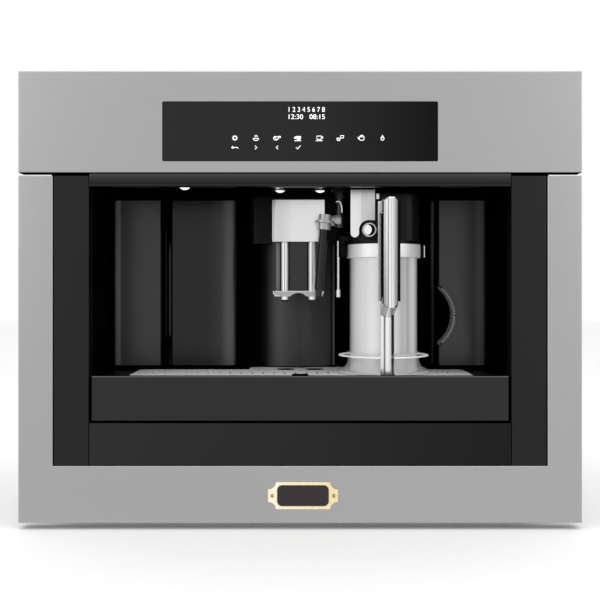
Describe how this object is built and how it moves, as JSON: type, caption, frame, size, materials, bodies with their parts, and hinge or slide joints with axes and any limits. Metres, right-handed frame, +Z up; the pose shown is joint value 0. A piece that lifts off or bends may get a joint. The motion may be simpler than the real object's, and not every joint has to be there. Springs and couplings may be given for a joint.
{
  "type": "built-in coffee machine",
  "caption": "Built-in coffee machine with a steel front, a lit niche with spout, hot water wand and milk carafe, and a pull-out chassis on telescopic rails.",
  "frame": {"origin": "middle of the front's lower edge, on the plane of the cabinet's front edge, where the steel front's stop lip rests", "axes": "+X to the viewer's right, +Y back into the cabinet, +Z up"},
  "size_m": [0.594, 0.4205, 0.476],
  "materials": {
    "brushed_steel": "satin, brushed along its length",
    "display": "black gloss",
    "trim_black": "satin black",
    "niche_black": "matte black",
    "front_black": "semi-gloss black",
    "tank_smoke": "smoked, semi-gloss",
    "lens": "frosted",
    "chrome": "polished",
    "grey_rubber": "matte grey",
    "clear_glass": "clear",
    "sheet_steel": "zinc grey",
    "rail_steel": "zinc plated",
    "board_green": "printed circuit",
    "hopper_clear": "smoked",
    "inner_plastic": "moulded",
    "cast_metal": "cast",
    "burr_steel": "ground",
    "name_metal": "satin, bare",
    "pin_steel": "polished",
    "spout_black": "gloss black",
    "switch_black": "satin"
  },
  "bodies": {
    "cabinet_rails": {"cabinet_rails": "rail_steel"},
    "middle_rails": {"middle_rails": "rail_steel"},
    "machine": {"machine_rails": "rail_steel", "chassis_base": "sheet_steel", "side_panels": "sheet_steel", "rear_panel": "sheet_steel", "top_cover": "sheet_steel", "front_carrier": "inner_plastic", "front_frame": "brushed_steel", "control_fascia": "brushed_steel", "display_glass": "display", "circuit_boards": "board_green", "name_plate": "name_metal", "side_trims": "trim_black", "visor": "trim_black", "lower_fascia": "trim_black", "niche_liner": "niche_black", "recess_wall": "niche_black", "left_bay": "niche_black", "tank_bay": "niche_black", "tray_shelf": "niche_black", "niche_lamps": "lens", "hinge_pin": "pin_steel", "spout_housing": "front_black", "steam_fittings": "front_black", "bean_hopper": "hopper_clear", "coffee_funnel": "inner_plastic", "grinder_housing": "cast_metal", "grinder_motor": "sheet_steel", "brew_unit": "inner_plastic", "brew_drive": "inner_plastic", "pump": "inner_plastic", "thermoblock": "cast_metal", "power_inlet": "switch_black"},
    "drip_tray": {"drip_tray": "inner_plastic", "tray_front": "trim_black", "cup_grid": "brushed_steel"},
    "tray_float": {"tray_float": "inner_plastic"},
    "grounds_container": {"grounds_container": "front_black"},
    "service_door": {"service_door": "front_black"},
    "water_tank": {"water_tank": "tank_smoke", "tank_lid": "front_black"},
    "spout": {"spout_cover": "brushed_steel", "spout_body": "spout_black", "spout_tubes": "chrome"},
    "wand": {"wand_pipe": "chrome", "wand_sleeve": "grey_rubber"},
    "carafe": {"carafe_glass": "clear_glass", "carafe_foot": "clear_glass", "carafe_lid": "spout_black", "lid_trim": "brushed_steel", "carafe_handle": "chrome"},
    "froth_knob": {"froth_knob": "chrome"},
    "milk_spout": {"milk_spout": "spout_black"},
    "hopper_lid": {"hopper_lid": "inner_plastic"},
    "funnel_lid": {"funnel_lid": "inner_plastic"},
    "grind_knob": {"grind_knob": "inner_plastic"},
    "grinding_burr": {"grinding_burr": "burr_steel"},
    "brew_piston": {"brew_piston": "inner_plastic"},
    "main_switch": {"main_switch": "switch_black"}
  },
  "joints": [
    {"name": "machine_slide", "type": "slide", "parent": "cabinet_rails", "child": "machine", "axis": [0, -1, 0], "range_m": [0, 0.33]},
    {"name": "middle_slide", "type": "slide", "parent": "cabinet_rails", "child": "middle_rails", "axis": [0, -1, 0], "range_m": [0, 0.165]},
    {"name": "drip_tray_slide", "type": "slide", "parent": "machine", "child": "drip_tray", "axis": [0, -1, 0], "range_m": [0, 0.15]},
    {"name": "float_rise", "type": "slide", "parent": "drip_tray", "child": "tray_float", "axis": [0, 0, 1], "range_m": [0, 0.006]},
    {"name": "grounds_container_slide", "type": "slide", "parent": "machine", "child": "grounds_container", "axis": [0, -1, 0], "range_m": [0, 0.19]},
    {"name": "service_door_hinge", "type": "hinge", "parent": "machine", "child": "service_door", "pos_m": [-0.1594, 0.1045, 0.2535], "axis": [0, 0, -1], "range_deg": [0, 90]},
    {"name": "water_tank_slide", "type": "slide", "parent": "machine", "child": "water_tank", "axis": [0, -1, 0], "range_m": [0, 0.2]},
    {"name": "spout_height", "type": "slide", "parent": "machine", "child": "spout", "axis": [0, 0, -1], "range_m": [0, 0.025]},
    {"name": "wand_swivel", "type": "hinge", "parent": "machine", "child": "wand", "pos_m": [0.044, 0.028, 0.34], "axis": [0, 0, 1], "range_deg": [0, 60]},
    {"name": "carafe_slide", "type": "slide", "parent": "machine", "child": "carafe", "axis": [0, -1, 0], "range_m": [0, 0.012]},
    {"name": "froth_knob_turn", "type": "hinge", "parent": "carafe", "child": "froth_knob", "pos_m": [0.075, 0.013, 0.3106], "axis": [0, 1, 0], "range_deg": [0, 120]},
    {"name": "milk_spout_swivel", "type": "hinge", "parent": "carafe", "child": "milk_spout", "pos_m": [0.0474, 0.06, 0.27], "axis": [0, 0, -1], "range_deg": [0, 30]},
    {"name": "hopper_lid_hinge", "type": "hinge", "parent": "machine", "child": "hopper_lid", "pos_m": [0.025, 0.3361, 0.4574], "axis": [-1, 0, 0], "range_deg": [0, 85]},
    {"name": "funnel_lid_hinge", "type": "hinge", "parent": "machine", "child": "funnel_lid", "pos_m": [-0.114, 0.2641, 0.4574], "axis": [-1, 0, 0], "range_deg": [0, 85]},
    {"name": "grind_knob_turn", "type": "hinge", "parent": "machine", "child": "grind_knob", "pos_m": [0.122, 0.26, 0.455], "axis": [0, 0, 1], "range_deg": [0, 270]},
    {"name": "burr_spin", "type": "hinge", "parent": "machine", "child": "grinding_burr", "pos_m": [0.025, 0.26, 0.37], "axis": [0, 0, 1], "continuous": true},
    {"name": "brew_piston_rise", "type": "slide", "parent": "machine", "child": "brew_piston", "axis": [0, 0, 1], "range_m": [0, 0.02]},
    {"name": "main_switch_rock", "type": "hinge", "parent": "machine", "child": "main_switch", "pos_m": [0.19, 0.377, 0.105], "axis": [-1, 0, 0], "range_deg": [0, 16]}
  ],
  "couplings": [
    {"joint": "middle_slide", "follows": "machine_slide", "ratio": 0.5}
  ]
}
